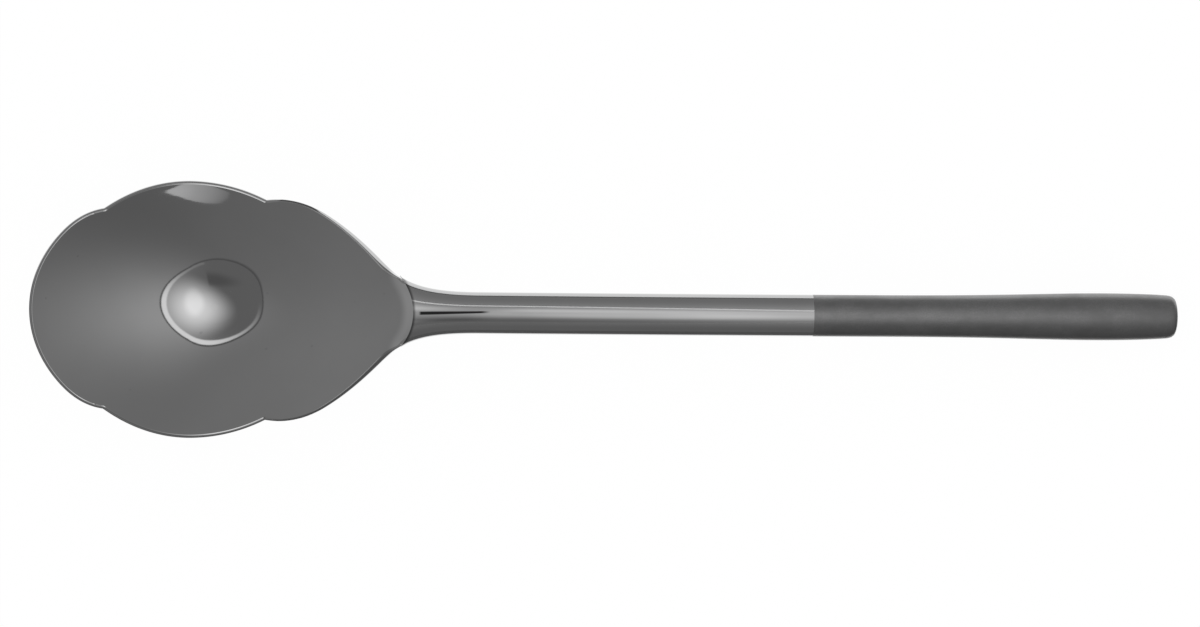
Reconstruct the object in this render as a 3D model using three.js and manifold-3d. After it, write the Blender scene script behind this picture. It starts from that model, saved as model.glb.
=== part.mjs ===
// Sugar spoon with a scalloped bowl, a flared neck, an oval polished stem and a satin grip.
// Millimetres. +X runs from the bowl to the grip and +Z is up. The spoon lies on the flat under its
// bowl and on the end of its grip. The origin is on the table, under the middle of the length.
// A station is a distance along the length, measured from the tip of the bowl.
import * as THREE from "three";
import { mergeVertices } from "three/addons/utils/BufferGeometryUtils.js";
import Module from "manifold-3d";

// Whole spoon
const overallLength = 156;
const crestStation = 57;
const crestHeight = 11.5;

// Bowl
const bowlHalfWidth = 17.45;
const bowlDepth = 9.5;
const bowlSheet = 1.2;
const tailSheet = 2.6;
const sheetGrowStation = 34;
const widestStation = 22;
const rimLowStation = 16;
const rimTipRise = 0.45;
const wallEaseStation = 21;
const wallEaseEndStation = 34;
const wallEaseShare = 0.3;
const throatSideStation = 50.2;
const throatStation = 52.1;
const restFlatWidth = 4.6;
const rimBevel = 0.3;
const shoulderBevel = 0.55;
const shoulderBevelShare = 0.4;
const tipShare = 0.001;

// Shoulders, where the rim sweeps in to the neck at 45 degrees
const shoulderStation = 47.75;
const shoulderHalfWidth = 6.85;
const shoulderHandleShares = [0.53, 0.23];
const neckHandleShares = [0.23, 0.56];

// Notches between the lobes of the rim, with how far the rim takes to recover on each side
const frontNotchStation = 10;
const frontNotchDepth = 1;
const frontNotchTipReach = 5.5;
const frontNotchSideReach = 11;
const rearNotchStation = 32;
const rearNotchDepth = 1.45;
const rearNotchSideReach = 10.8;
const rearNotchShoulderReach = 8;

// Neck, with the saddle under the bowl's tail and the spigot in the stem
const neckEndStation = 61;
const saddleStation = 43;
const saddleHalfWidth = 1.6;
const saddleThickness = 0.45;
const spigotLength = 6;
const socketDepth = 10;

// Stem and grip. Radii are across the spoon, and the oval section's height is a share of its width.
const stemRadius = 2.82;
const handleHeightShare = 0.75;
const boreRadius = 2;
const gripLength = 48.3;
const gripSwell = 0.38;
const gripRiseShares = [0.2, 0.55, 0.65, 0.81];
const gripFallShares = [0.81, 0.88, 0.96, 1];
const gripFallHeightShares = [1, 1, 0.75, 0.32];

// End cap
const capLength = 1.4;
const capSpigotLength = 4;
const capHeadShares = [[0.3, 0.975], [0.57, 0.92], [0.79, 0.8], [0.93, 0.5]];

// Pieces inside the handle
const tangRadius = 1.2;
const tangEndRoom = 1.5;
const couplerLength = 12;
const cementEndRoom = 0.5;
const solderRingWidth = 0.4;
const solderRingLength = 0.5;
const brazeFilm = 0.1;

// Clearances: a slip fit all round, a butt seam, and the gap to a seat that a neighbour cuts
const slipClearance = 0.1;
const seamGap = 0.02;
const seatGap = 0.3;
const cutOverrun = 20;

// Facet counts
const sides = 24;
const tipSteps = 7;
const sideLobeSteps = 6;
const shoulderSteps = 9;
const throatSteps = 5;
const dishRings = 8;
const ringCrowding = 1.6;
const neckRings = 12;
const bendStep = 6;
const bisections = 40;
const restSteps = 20;

// Sizes that follow from the ones above
const spigotRadius = boreRadius - slipClearance;
const tangBoreRadius = tangRadius + slipClearance;
const restFlatHalf = restFlatWidth / 2;
const restFlatSink = bowlDepth * (restFlatHalf / bowlHalfWidth) ** 2;
const keelHeight = bowlSheet - restFlatSink;
const stemHalfHeight = stemRadius * handleHeightShare;
const neckTop = crestHeight + stemHalfHeight;
const rimLowHeight = keelHeight + bowlDepth;
const rimTipHeight = rimLowHeight + rimTipRise;
const keelRatio = Math.sqrt((neckTop - keelHeight) / (rimTipHeight - keelHeight));
const keelStation = throatStation / (1 + keelRatio);
const keelCurve = (rimTipHeight - keelHeight) / keelStation ** 2;
const capStation = overallLength - capLength;
const gripStation = capStation - gripLength;

const wasm = await Module();
wasm.setup();

// One cubic from four stations and four values
function cubic(stations, values) {
  const [a, b, c, d] = stations.map((station, i) => new THREE.Vector2(station, values[i]));
  return new THREE.CubicBezierCurve(a, b, c, d);
}

// The value at one station of curves that run one after another along the spoon
function valueAt(curves, station) {
  const curve = curves.find((one) => station <= one.v3.x) ?? curves.at(-1);
  let low = 0;
  let high = 1;
  for (let i = 0; i < bisections; i += 1) {
    const middle = (low + high) / 2;
    if (curve.getPoint(middle).x < station) {
      low = middle;
    } else {
      high = middle;
    }
  }
  return curve.getPoint((low + high) / 2).y;
}

// Even steps from one value to another, with both ends
function evenSteps(from, to, count) {
  return Array.from({ length: count + 1 }, (_, i) => from + ((to - from) * i) / count);
}

// Outline of the shoulders and the neck: in at 45 degrees, then out to the round of the stem
const shoulderRun = shoulderStation - widestStation;
const neckRun = neckEndStation - shoulderStation;
const shoulderCurves = [
  cubic(
    [
      widestStation,
      widestStation + shoulderRun * shoulderHandleShares[0],
      shoulderStation - shoulderRun * shoulderHandleShares[1],
      shoulderStation,
    ],
    [
      bowlHalfWidth,
      bowlHalfWidth,
      shoulderHalfWidth + shoulderRun * shoulderHandleShares[1],
      shoulderHalfWidth,
    ],
  ),
  cubic(
    [
      shoulderStation,
      shoulderStation + neckRun * neckHandleShares[0],
      neckEndStation - neckRun * neckHandleShares[1],
      neckEndStation,
    ],
    [
      shoulderHalfWidth,
      shoulderHalfWidth - neckRun * neckHandleShares[0],
      stemRadius,
      stemRadius,
    ],
  ),
];

// Half the width at a station, as if the rim had no notches
function plainHalfWidth(station) {
  if (station >= widestStation) {
    return valueAt(shoulderCurves, station);
  }
  const share = (widestStation - station) / widestStation;
  return bowlHalfWidth * Math.sqrt(Math.max(1 - share ** 2, 0));
}

const notches = [
  {
    station: frontNotchStation,
    depth: frontNotchDepth,
    before: frontNotchTipReach,
    after: frontNotchSideReach,
  },
  {
    station: rearNotchStation,
    depth: rearNotchDepth,
    before: rearNotchSideReach,
    after: rearNotchShoulderReach,
  },
];

// How far the notches draw the rim in at a station: a crisp corner with a round lobe on each side
function notchDip(station) {
  return notches.reduce((dip, notch) => {
    const reach = station < notch.station ? notch.before : notch.after;
    const share = Math.max(1 - Math.abs(station - notch.station) / reach, 0);
    return dip + notch.depth * share ** 2;
  }, 0);
}

// How far the bowl has grown from thin sheet to its thick tail at a station
function tailShare(station) {
  const share = (station - sheetGrowStation) / (throatSideStation - sheetGrowStation);
  return Math.min(Math.max(share, 0), 1) ** 2;
}

function sheetAt(station) {
  return bowlSheet + (tailSheet - bowlSheet) * tailShare(station);
}

// One side of the rim from the tip to the middle of the throat, as [station, half width, flank].
// The flank is 0 on a thin rim and in the throat, and 1 where a shoulder meets the neck.
function rimSide() {
  const tipAngle = Math.acos(1 - frontNotchStation / widestStation);
  const tip = evenSteps(0, tipAngle, tipSteps).map((angle) => widestStation * (1 - Math.cos(angle)));
  const stations = [
    ...tip,
    ...evenSteps(frontNotchStation, widestStation, sideLobeSteps).slice(1),
    ...evenSteps(widestStation, rearNotchStation, sideLobeSteps).slice(1),
    ...evenSteps(rearNotchStation, throatSideStation, shoulderSteps).slice(1),
  ];
  const side = stations.map((station) => [
    station,
    plainHalfWidth(station) - notchDip(station),
    tailShare(station),
  ]);
  side[0][1] = 0;
  const sagitta = throatStation - throatSideStation;
  const halfChord = plainHalfWidth(throatSideStation);
  const arcRadius = (halfChord ** 2 + sagitta ** 2) / (2 * sagitta);
  const arcAngle = Math.asin(halfChord / arcRadius);
  const arc = evenSteps(arcAngle, 0, throatSteps).slice(1).map((angle) => [
    throatStation - arcRadius * (1 - Math.cos(angle)),
    arcRadius * Math.sin(angle),
    0,
  ]);
  return [...side, ...arc];
}

// The whole rim as a loop of [station, y, flank], counterclockwise seen from above
const rimHalf = rimSide();
const rimLoop = [
  ...rimHalf.map(([station, half, flank]) => [station, -half, flank]),
  ...rimHalf.slice(1, -1).reverse(),
];

// Height of the bowl's lowest line along its middle. It climbs to the neck's top in the throat.
function keelLine(station) {
  return keelHeight + keelCurve * (station - keelStation) ** 2;
}

// Height of the rim. It rises a little to the tip, and to the keel line where the shoulders end.
function rimHeight(station) {
  if (station < rimLowStation) {
    return rimLowHeight + rimTipRise * (1 - station / rimLowStation) ** 2;
  }
  const share = (station - rimLowStation) / (throatSideStation - rimLowStation);
  return rimLowHeight + (keelLine(throatSideStation) - rimLowHeight) * share ** 2;
}

// Height of the dished surface. Across the bowl's wide part it is a parabola from rim to rim. On the
// shoulders the walls are eased: rounder in the middle, and straighter and less steep at the rim.
function dishHeight(station, y) {
  const place = Math.max(station, tipShare * throatStation);
  const easedShare = THREE.MathUtils.smoothstep(place, wallEaseStation, wallEaseEndStation);
  const ease = wallEaseShare * easedShare;
  const outShare = (y / plainHalfWidth(place)) ** 2;
  const rise = rimHeight(place) - keelLine(place);
  return keelLine(station) + (rise * outShare * (1 + ease)) / (1 + ease * outShare);
}

// Height of the bowl's underside, moved straight up or down
function underHeight(station, y) {
  return dishHeight(station, y) - sheetAt(station);
}

function underMoved(up) {
  return (station, y) => underHeight(station, y) + up;
}

// A ring of the bowl's plan. Share 0 is the edge of the flat that the bowl lies on and 1 is the rim.
// The height says how high each point is, and out how far it is moved outward at its flank.
function planRing(share, height, out = () => 0) {
  const flatLong = (restFlatHalf * keelStation) / bowlHalfWidth;
  return rimLoop.map(([station, y, flank]) => {
    const run = station - keelStation;
    const reach = Math.hypot(run, y);
    const along = run / reach;
    const across = y / reach;
    const inner = 1 / Math.hypot(along / flatLong, across / restFlatHalf);
    const distance = inner + (reach - inner) * share + out(flank);
    const place = keelStation + along * distance;
    return point(place, across * distance, height(place, across * distance, flank));
  });
}

// Shares of the rings from the flat to just inside the rim, closer together towards the rim
const ringShares = evenSteps(1, 0, dishRings).slice(0, -1).map((rest) => 1 - rest ** ringCrowding);

// A point of the spoon from its station, its place across and its height
function point(station, y, z) {
  return new THREE.Vector3(station - overallLength / 2, y, z);
}

// A closed body from rings, each a loop of points or one point at an end
function ringBody(rings) {
  const positions = [];
  const starts = rings.map((ring) => {
    const start = positions.length / 3;
    ring.forEach((corner) => positions.push(corner.x, corner.y, corner.z));
    return start;
  });
  const index = [];
  rings.slice(1).forEach((ring, i) => {
    const count = Math.max(ring.length, rings[i].length);
    for (let j = 0; j < count; j += 1) {
      const next = (j + 1) % count;
      const [a, b] = [j, next].map((k) => starts[i] + (rings[i].length > 1 ? k : 0));
      const [c, d] = [j, next].map((k) => starts[i + 1] + (ring.length > 1 ? k : 0));
      if (ring.length > 1) {
        index.push(a, c, d);
      }
      if (rings[i].length > 1) {
        index.push(a, d, b);
      }
    }
  });
  const geometry = new THREE.BufferGeometry();
  geometry.setAttribute("position", new THREE.Float32BufferAttribute(positions, 3));
  geometry.setIndex(index);
  return geometry;
}

// A sheet that follows the bowl between two heights, with its plan grown outward past the rim
function dishSheet(topHeight, bottomHeight, grow) {
  const inside = [...ringShares.map((share) => [share, 0]), [1, 0]];
  const plan = grow > 0 ? [...inside, [1, grow]] : inside;
  return ringBody([
    [point(keelStation, 0, topHeight(keelStation, 0))],
    ...plan.map(([share, out]) => planRing(share, topHeight, () => out)),
    ...plan.reverse().map(([share, out]) => planRing(share, bottomHeight, () => out)),
    [point(keelStation, 0, bottomHeight(keelStation, 0))],
  ]);
}

// Width and drop of the bevel round the rim. On the shoulders it widens to the round of the neck.
function bevelWidth(flank) {
  return rimBevel + (shoulderBevel - rimBevel) * flank;
}

function bevelDrop(flank) {
  return rimBevel + (shoulderBevelShare * tailSheet - rimBevel) * flank;
}

// Pressed bowl, bevelled round its rim, with a small flat under it to lie on
function bowl() {
  const inward = (flank) => -bevelWidth(flank);
  return ringBody([
    [point(keelStation, 0, dishHeight(keelStation, 0))],
    ...ringShares.map((share) => planRing(share, dishHeight)),
    planRing(1, dishHeight, inward),
    planRing(1, (station, y, flank) => dishHeight(station, y) - bevelDrop(flank)),
    planRing(1, (station, y, flank) => underHeight(station, y) + bevelDrop(flank)),
    planRing(1, underHeight, inward),
    ...ringShares.slice(1).reverse().map((share) => planRing(share, underHeight)),
    planRing(0, () => 0),
    [point(keelStation, 0, 0)],
  ]);
}

// Half the grip's width: the stem's radius and a swell that rises slowly and falls at the end
const gripCurves = [
  cubic(
    gripRiseShares.map((share) => gripStation + share * gripLength),
    [0, 0, gripSwell, gripSwell],
  ),
  cubic(
    gripFallShares.map((share) => gripStation + share * gripLength),
    gripFallHeightShares.map((share) => share * gripSwell),
  ),
];

function gripRadius(station) {
  const riseStart = gripStation + gripRiseShares[0] * gripLength;
  return stemRadius + (station > riseStart ? valueAt(gripCurves, station) : 0);
}

// The handle's centre line is level up to the crest of the neck. From there it is one arc, bent so
// that the first ring of the end cap's head comes down to the table.
const headRadius = gripRadius(capStation);
const [restAlongShare, restOutShare] = capHeadShares[0];
const restRun = capStation + restAlongShare * capLength - crestStation;
const restHalfHeight = restOutShare * headRadius * handleHeightShare;
let endSlope = 0;
for (let i = 0; i < restSteps; i += 1) {
  const drop = crestHeight - restHalfHeight * Math.cos(endSlope);
  endSlope = 2 * Math.atan(drop / restRun);
}
const bendRadius = restRun / Math.sin(endSlope);

// A place beside the handle's centre line, from its station and its distances across and upward
function besideHandle(station, across, upward) {
  const slope = Math.asin(Math.max(station - crestStation, 0) / bendRadius);
  const lineHeight = crestHeight - bendRadius * (1 - Math.cos(slope));
  return point(
    station + upward * Math.sin(slope),
    across,
    lineHeight + upward * Math.cos(slope),
  );
}

// A profile of [station, radius] with points added, so that a long run follows the bend
function withBendPoints(profile) {
  return profile.flatMap(([station, radius], i) => {
    if (i === 0) {
      return [[station, radius]];
    }
    const [lastStation, lastRadius] = profile[i - 1];
    const count = Math.max(Math.round(Math.abs(station - lastStation) / bendStep), 1);
    return evenSteps(0, 1, count).slice(1).map((share) => [
      lastStation + (station - lastStation) * share,
      lastRadius + (radius - lastRadius) * share,
    ]);
  });
}

// An oval piece of the handle, bent with it. Its profile of widths runs out along the piece's
// outside and back along its bore, or from the axis to the axis.
function turned(profile) {
  const points = withBendPoints(profile).map(([station, radius]) => new THREE.Vector2(radius, station));
  const geometry = new THREE.LatheGeometry(points, sides);
  geometry.rotateZ(-Math.PI / 2);
  const places = geometry.getAttribute("position");
  for (let i = 0; i < places.count; i += 1) {
    const place = besideHandle(places.getX(i), places.getY(i), places.getZ(i) * handleHeightShare);
    places.setXYZ(i, place.x, place.y, place.z);
  }
  return geometry;
}

// A plain rod, and a plain tube, between two stations
function rod(from, to, radius) {
  return turned([[from, 0], [from, radius], [to, radius], [to, 0]]);
}

function tube(from, to, outer, inner) {
  return turned([[from, outer], [to, outer], [to, inner], [from, inner], [from, outer]]);
}

// Corners merged and triangles without area left out
function welded(geometry) {
  const bare = geometry.clone();
  bare.deleteAttribute("normal");
  bare.deleteAttribute("uv");
  const merged = mergeVertices(bare);
  const corners = merged.getIndex().array;
  const index = [];
  for (let i = 0; i < corners.length; i += 3) {
    const [a, b, c] = corners.slice(i, i + 3);
    if (a !== b && b !== c && c !== a) {
      index.push(a, b, c);
    }
  }
  merged.setIndex(index);
  return merged;
}

function solidFrom(geometry) {
  const merged = welded(geometry);
  return new wasm.Manifold(new wasm.Mesh({
    numProp: 3,
    vertProperties: new Float32Array(merged.getAttribute("position").array),
    triVerts: new Uint32Array(merged.getIndex().array),
  }));
}

function geometryFrom(solid) {
  const mesh = solid.getMesh();
  const geometry = new THREE.BufferGeometry();
  geometry.setAttribute("position", new THREE.BufferAttribute(mesh.vertProperties, 3));
  geometry.setIndex(new THREE.BufferAttribute(mesh.triVerts, 1));
  return geometry;
}

// Underside of the neck: the saddle's thin end below the bowl, rising to the stem at the crest
const saddleHeight = underHeight(saddleStation, 0) - seatGap - saddleThickness;

function neckUnderside(station) {
  const share = Math.min((station - saddleStation) / (crestStation - saddleStation), 1);
  return saddleHeight + (crestHeight - stemHalfHeight - saddleHeight) * (1 - (1 - share) ** 2);
}

// Half the neck's width: it opens from the saddle's end to the throat and closes to the stem
function neckHalfWidth(station) {
  if (station >= throatSideStation) {
    return plainHalfWidth(station);
  }
  const share = (station - saddleStation) / (throatSideStation - saddleStation);
  return saddleHalfWidth + (plainHalfWidth(throatSideStation) - saddleHalfWidth) * share;
}

function neckRing(station) {
  const middle = (neckTop + neckUnderside(station)) / 2;
  const halfHeight = neckTop - middle;
  return evenSteps(0, 2 * Math.PI, sides).slice(0, -1).map((angle) => besideHandle(
    station,
    -neckHalfWidth(station) * Math.cos(angle),
    middle - crestHeight + halfHeight * Math.sin(angle),
  ));
}

// The neck before anything is cut from it
function neckBlank() {
  const stations = [
    ...evenSteps(saddleStation, throatSideStation, neckRings / 2),
    ...evenSteps(throatSideStation, neckEndStation, neckRings).slice(1),
  ];
  const rings = stations.map(neckRing);
  return ringBody([
    [besideHandle(saddleStation, 0, neckUnderside(saddleStation) - crestHeight)],
    ...rings,
    [besideHandle(neckEndStation, 0, 0)],
  ]);
}

// Neck with a seat cut for the bowl's tail, a spigot for the stem and a socket for the tang
function neck() {
  const spigotEnd = neckEndStation + spigotLength;
  const seat = dishSheet(
    (station, y) => dishHeight(station, y) + cutOverrun,
    underMoved(-seatGap),
    seatGap,
  );
  const spigot = rod(neckEndStation - spigotLength, spigotEnd, spigotRadius);
  const socket = rod(spigotEnd - socketDepth, spigotEnd + cutOverrun, tangBoreRadius);
  return geometryFrom(
    solidFrom(neckBlank())
      .subtract(solidFrom(seat))
      .add(solidFrom(spigot))
      .subtract(solidFrom(socket)),
  );
}

// Film of braze in the middle of the gap between the bowl's tail and its seat on the neck
function bowlBraze() {
  const side = (seatGap - brazeFilm) / 2;
  const film = dishSheet(underMoved(-side), underMoved(side - seatGap), 0);
  return geometryFrom(solidFrom(film).intersect(solidFrom(neckBlank())));
}

// Ring of solder in the mouth of the stem, round the neck's spigot
const solderInner = spigotRadius + slipClearance / 2;
const solderOuter = solderInner + solderRingWidth;
const counterbore = solderOuter + slipClearance / 2;
const stemStart = neckEndStation + seamGap;

function neckSolderRing() {
  const start = stemStart + slipClearance / 2;
  return tube(start, start + solderRingLength, solderOuter, solderInner);
}

// Stem, counterbored for the ring of solder
function stem() {
  const end = gripStation - seamGap;
  const counterboreEnd = stemStart + solderRingLength + slipClearance;
  return turned([
    [stemStart, stemRadius],
    [end, stemRadius],
    [end, boreRadius],
    [counterboreEnd, boreRadius],
    [counterboreEnd, counterbore],
    [stemStart, counterbore],
    [stemStart, stemRadius],
  ]);
}

function grip() {
  const end = capStation - seamGap;
  const outside = evenSteps(gripStation, end, Math.round(gripLength / (bendStep / 2)));
  return turned([
    ...outside.map((station) => [station, gripRadius(station)]),
    [end, boreRadius],
    [gripStation, boreRadius],
    [gripStation, stemRadius],
  ]);
}

// Cap with a rounded edge, a slightly domed end and a spigot in the grip's bore
function endCap() {
  return turned([
    [capStation - capSpigotLength, 0],
    [capStation - capSpigotLength, spigotRadius],
    [capStation, spigotRadius],
    [capStation, headRadius],
    ...capHeadShares.map(([along, out]) => [capStation + along * capLength, out * headRadius]),
    [overallLength, 0],
  ]);
}

const tangEnd = capStation - capSpigotLength - tangEndRoom;
const tangStart = neckEndStation + spigotLength - socketDepth + slipClearance;
const couplerStart = gripStation - couplerLength / 2;
const cementStart = couplerStart + couplerLength + cementEndRoom;

const polishedSteel = new THREE.MeshStandardMaterial({ color: 0xbcbcbd, roughness: 0.1, metalness: 1 });
const satinSteel = new THREE.MeshStandardMaterial({ color: 0xadadae, roughness: 0.45, metalness: 1 });
const plainSteel = new THREE.MeshStandardMaterial({ color: 0xa2a2a5, roughness: 0.6, metalness: 1 });
const silverBraze = new THREE.MeshStandardMaterial({ color: 0xb9b3a2, roughness: 0.35, metalness: 1 });
const cement = new THREE.MeshStandardMaterial({ color: 0x4b4540, roughness: 0.9, metalness: 0 });

const pieces = [
  ["bowl", bowl(), polishedSteel],
  ["neck", neck(), polishedSteel],
  ["bowl_braze", bowlBraze(), silverBraze],
  ["stem", stem(), polishedSteel],
  ["neck_solder_ring", neckSolderRing(), silverBraze],
  ["grip", grip(), satinSteel],
  ["end_cap", endCap(), satinSteel],
  ["tang", rod(tangStart, tangEnd, tangRadius), plainSteel],
  ["coupler", tube(couplerStart, couplerStart + couplerLength, spigotRadius, tangBoreRadius), plainSteel],
  ["grip_cement", tube(cementStart, tangEnd, spigotRadius, tangBoreRadius), cement],
];

const spoon = new THREE.Group();
pieces.forEach(([name, geometry, material]) => {
  const finished = welded(geometry);
  finished.computeVertexNormals();
  const mesh = new THREE.Mesh(finished, material);
  mesh.name = name;
  spoon.add(mesh);
});

export default spoon;
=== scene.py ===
import math

import bpy
import numpy as np
from mathutils import Euler, Matrix, Vector


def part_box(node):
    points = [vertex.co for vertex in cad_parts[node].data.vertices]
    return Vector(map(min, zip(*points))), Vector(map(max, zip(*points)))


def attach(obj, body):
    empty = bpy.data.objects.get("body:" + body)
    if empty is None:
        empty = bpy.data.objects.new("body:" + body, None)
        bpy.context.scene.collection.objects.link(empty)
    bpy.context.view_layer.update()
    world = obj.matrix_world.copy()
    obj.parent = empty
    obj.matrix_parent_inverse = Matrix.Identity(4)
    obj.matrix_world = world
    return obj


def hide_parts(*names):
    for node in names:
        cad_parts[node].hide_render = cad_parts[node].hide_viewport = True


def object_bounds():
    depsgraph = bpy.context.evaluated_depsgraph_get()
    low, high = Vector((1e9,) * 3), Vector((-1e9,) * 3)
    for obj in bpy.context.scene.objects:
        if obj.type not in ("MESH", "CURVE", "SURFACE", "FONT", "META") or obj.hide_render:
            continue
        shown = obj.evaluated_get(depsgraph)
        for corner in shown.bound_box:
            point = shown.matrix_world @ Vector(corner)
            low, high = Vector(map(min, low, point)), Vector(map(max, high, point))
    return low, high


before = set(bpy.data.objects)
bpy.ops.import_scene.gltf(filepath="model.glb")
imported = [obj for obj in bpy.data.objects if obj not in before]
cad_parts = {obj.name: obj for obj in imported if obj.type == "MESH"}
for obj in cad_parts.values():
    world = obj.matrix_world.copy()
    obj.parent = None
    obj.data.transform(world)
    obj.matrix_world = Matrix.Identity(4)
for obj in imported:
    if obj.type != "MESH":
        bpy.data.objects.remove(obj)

cad_low, cad_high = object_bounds()

bl_info = {
    "name": "Sugar Spoon",
    "version": (1, 0, 0),
    "blender": (4, 5, 0),
    "location": "3D View > Sidebar > Spoon",
    "description": "Makes a scalloped sugar spoon with its steel finishes, and a pale stage for it",
    "category": "Add Mesh",
}

# Places along the spoon that the frame gives, measured from the tip of the bowl
LENGTH = -2 * cad_low.x
NECK_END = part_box("stem")[0].x + LENGTH / 2
GRIP_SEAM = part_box("grip")[0].x + LENGTH / 2
CAP_SPIGOT_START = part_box("end_cap")[0].x + LENGTH / 2
STEM_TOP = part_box("neck")[1].z
BOWL_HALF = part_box("bowl")[1].y

# Places along the bowl and the neck, in metres from the tip
CREST = 0.057
WIDEST = 0.022
RIM_LOW = 0.016
THROAT_SIDE = 0.0502
THROAT = 0.0521
SHEET_GROWS = 0.034
EASE_STARTS = 0.021
EASE_ENDS = 0.034
FLANK_STARTS = 0.038
FLANK_ENDS = 0.043
CORNER_STARTS = 0.0466
SHOULDER = 0.04775
SADDLE = 0.043
NECK_ROUND = 0.061
CAP_SEAM = 0.1546
FRONT_NOTCH = 0.010
REAR_NOTCH = 0.032
NEAR_TIP = THROAT / 1000

# Half the chord of the throat's arc, and runs: of the eased lip, of the shoulder's edge until it is
# crisp, and of the lobes before and after each notch
THROAT_HALF = 0.004847
LIP = 0.0013
CRISP_RUN = 0.002
FRONT_NOTCH_RUNS = (0.0055, 0.011)
REAR_NOTCH_RUNS = (0.0108, 0.008)

# Small fits
SEAM = 0.000002
SLIP = 0.0001
SEAT = 0.0003
RAMP = 0.002

# Outline of the shoulders: half width where they stand at 45 degrees, and handles of the curves
SHOULDER_HALF = 0.00685
SHOULDER_HANDLE_SHARES = (0.53, 0.23)
NECK_HANDLE_SHARES = (0.23, 0.56)

# Flank of the shoulders: how steep its edge is, how steep it gets up to each share of its run, how
# much of the rim's round is left at a crisp edge, and the run of the round under it
EDGE_STEEP = 1.07
FLANK_STEEP_SHARES = ((0.309, EDGE_STEEP), (0.891, 1.75), (1.0, 3.5))
CRISP_SHARE = 0.6
UNDER_ROUND_SHARE = 0.6

# The worn flat is rounded off over the sheet's thickness divided by this
REST_SOFT_PARTS = 12

# Swell of the grip
SWELL_RISE_SHARES = (0.2, 0.55, 0.65, 0.81)
SWELL_FALL_SHARES = (0.81, 0.88, 0.96, 1.0)
SWELL_FALL_HEIGHT_SHARES = (1.0, 1.0, 0.75, 0.32)

# Head of the end cap, as shares along its length and out to its radius
CAP_HEAD_SHARES = (
    (0, 1), (0.3, 0.975), (0.57, 0.92), (0.79, 0.8), (0.93, 0.495), (1, 0),
)

# Mesh counts
CURVE_STEPS = 4000
TIP_STEPS = 56
SIDE_STEPS = 48
SHOULDER_STEPS = 84
THROAT_STEPS = 28
CORE_RINGS = 8
DISH_RINGS = 44
ROUND_STEPS = 10
HANDLE_SIDES = 160
NECK_RINGS = 90
SEAT_ROWS = 14
GRIP_STATIONS = 90
BEND_STEP = 0.0012
CAP_STEPS = 6
DISH_CROWDING = 1.5
NECK_CROWDING = 1.3
SEAT_HALVINGS = 40
SLOPE_ROUNDS = 20
SHARP_TURN = math.radians(30)
AROUND = np.linspace(0, 2 * math.pi, HANDLE_SIDES + 1)[:-1]

# Painted reflections and shade in the steel's colour, in metres from the spoon's middle. Each run goes
# from its first number to its second, and from nothing to full or between the two shares that follow
BAND_BEHIND = (-0.0019, -0.0006)
BAND_SHOULDER = (-0.0296, -0.0282)
LINE_BEHIND = (0.00045, 0.0001)
STREAK_OFFSET = 0.00002
STREAK_FOOT = -0.0249
STREAK_SLANT = 0.0267
STREAK_WIDTH = (STREAK_FOOT, -0.0157, 0.00029, 0.00018)
STREAK_START = (-0.0252, -0.0248)
STREAK_END = (-0.0153, -0.0168)
STREAK_SHARE = 0.98
SHADE_RUN_SIDES = ((0.0008, 0.0001), (-0.0013, -0.0008))
SHADE_RUN_FADE = (-0.009, -0.019, 0, 0.5)
LOW_SIDES = ((0.0006, 0.0001), (-0.0011, -0.0006))
LOW_GROWTH = (-0.018, -0.01, 0, 0.42)
LOW_FADE = (0, 0.025, 1, 0.6)
ABOVE_SADDLE = (0.004, 0.0045)

# What the polished steel mirrors, by direction. Scratch scripts fitted the walls, the glow, the
# opening and its fill to the photo's greys along mirrored rays. The lamp started from that fit and
# was changed, and the rest was set
WALL_LIGHT = 0.232
WALL_SLOPES = (0.071, 0.037)
GLOW_OVAL = ((0.36, 0.04), (1, 1))
GLOW_RUN = (1.034, 0.05)
GLOW_LIGHT = 0.323
OPENING_MIDDLE = (-0.036, -0.0892)
OPENING_RADII = (0.4259, 0.6611)
OPENING_BEND = 0.2753
OPENING_BEND_FALL = 0.1031
FILL_LEAN = 0.405
FILL_RUN = (-0.297, 4.016, 0.2, 1.32)
CRESCENT_FADE = (-0.68, -0.1, 0.1, 1)
CRESCENT_GROWTH = (-1.25, 0.2)
CRESCENT_INNER = 0.955
CRESCENT_THICKNESS = (-0.6, 0.2, 0.02, 0.055)
CRESCENT_END_RUNS = ((-0.02, -0.05), (0.2, -0.2))
CRESCENT_LIGHT = 1.2
LAMP_OVAL = ((0.085, -0.02), (0.3, 0.46), 0.11)
LAMP_RUN = (1.22, 0.15)
LAMP_LIGHT = 0.95
CORE_OVAL = ((0.115, -0.11), (0.085, 0.22))
CORE_RUN = (1.35, 0.55)
CORE_LIGHT = 0.24
FLAP_OVAL = ((-0.09, -0.5), (0.24, 0.13))
FLAP_RUN = (1.1, 0.2)
FLAP_SIDE = (-0.02, -0.04)
FLAP_LIGHT = 0.14
OUTLINE_LIGHT = 0.13
TABLE_FAR = (-0.12, -0.2)
TABLE_NEAR = (-0.6, -0.75)
TABLE_EDGE = (0.12, 0.35)
TABLE_LIGHT = 0.13
TABLE_PALE = 1.02

# Stage
FLOOR_HALF = 4.0
CLIP_RATIO = 100
WHITE = (1, 1, 1, 1)


def length_property(name, description, default):
    """A size in metres, shown as a length."""
    return bpy.props.FloatProperty(
        name=name, description=description, default=default, subtype="DISTANCE", unit="LENGTH",
        precision=5
    )


def steel_colour(name, description, grey):
    return bpy.props.FloatVectorProperty(
        name=name, description=description, default=(grey, grey, grey * 1.004), subtype="COLOR", size=3,
        min=0, max=1
    )


def share_property(name, description, default):
    return bpy.props.FloatProperty(
        name=name, description=description, default=default, min=0, max=1, subtype="FACTOR"
    )


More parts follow.
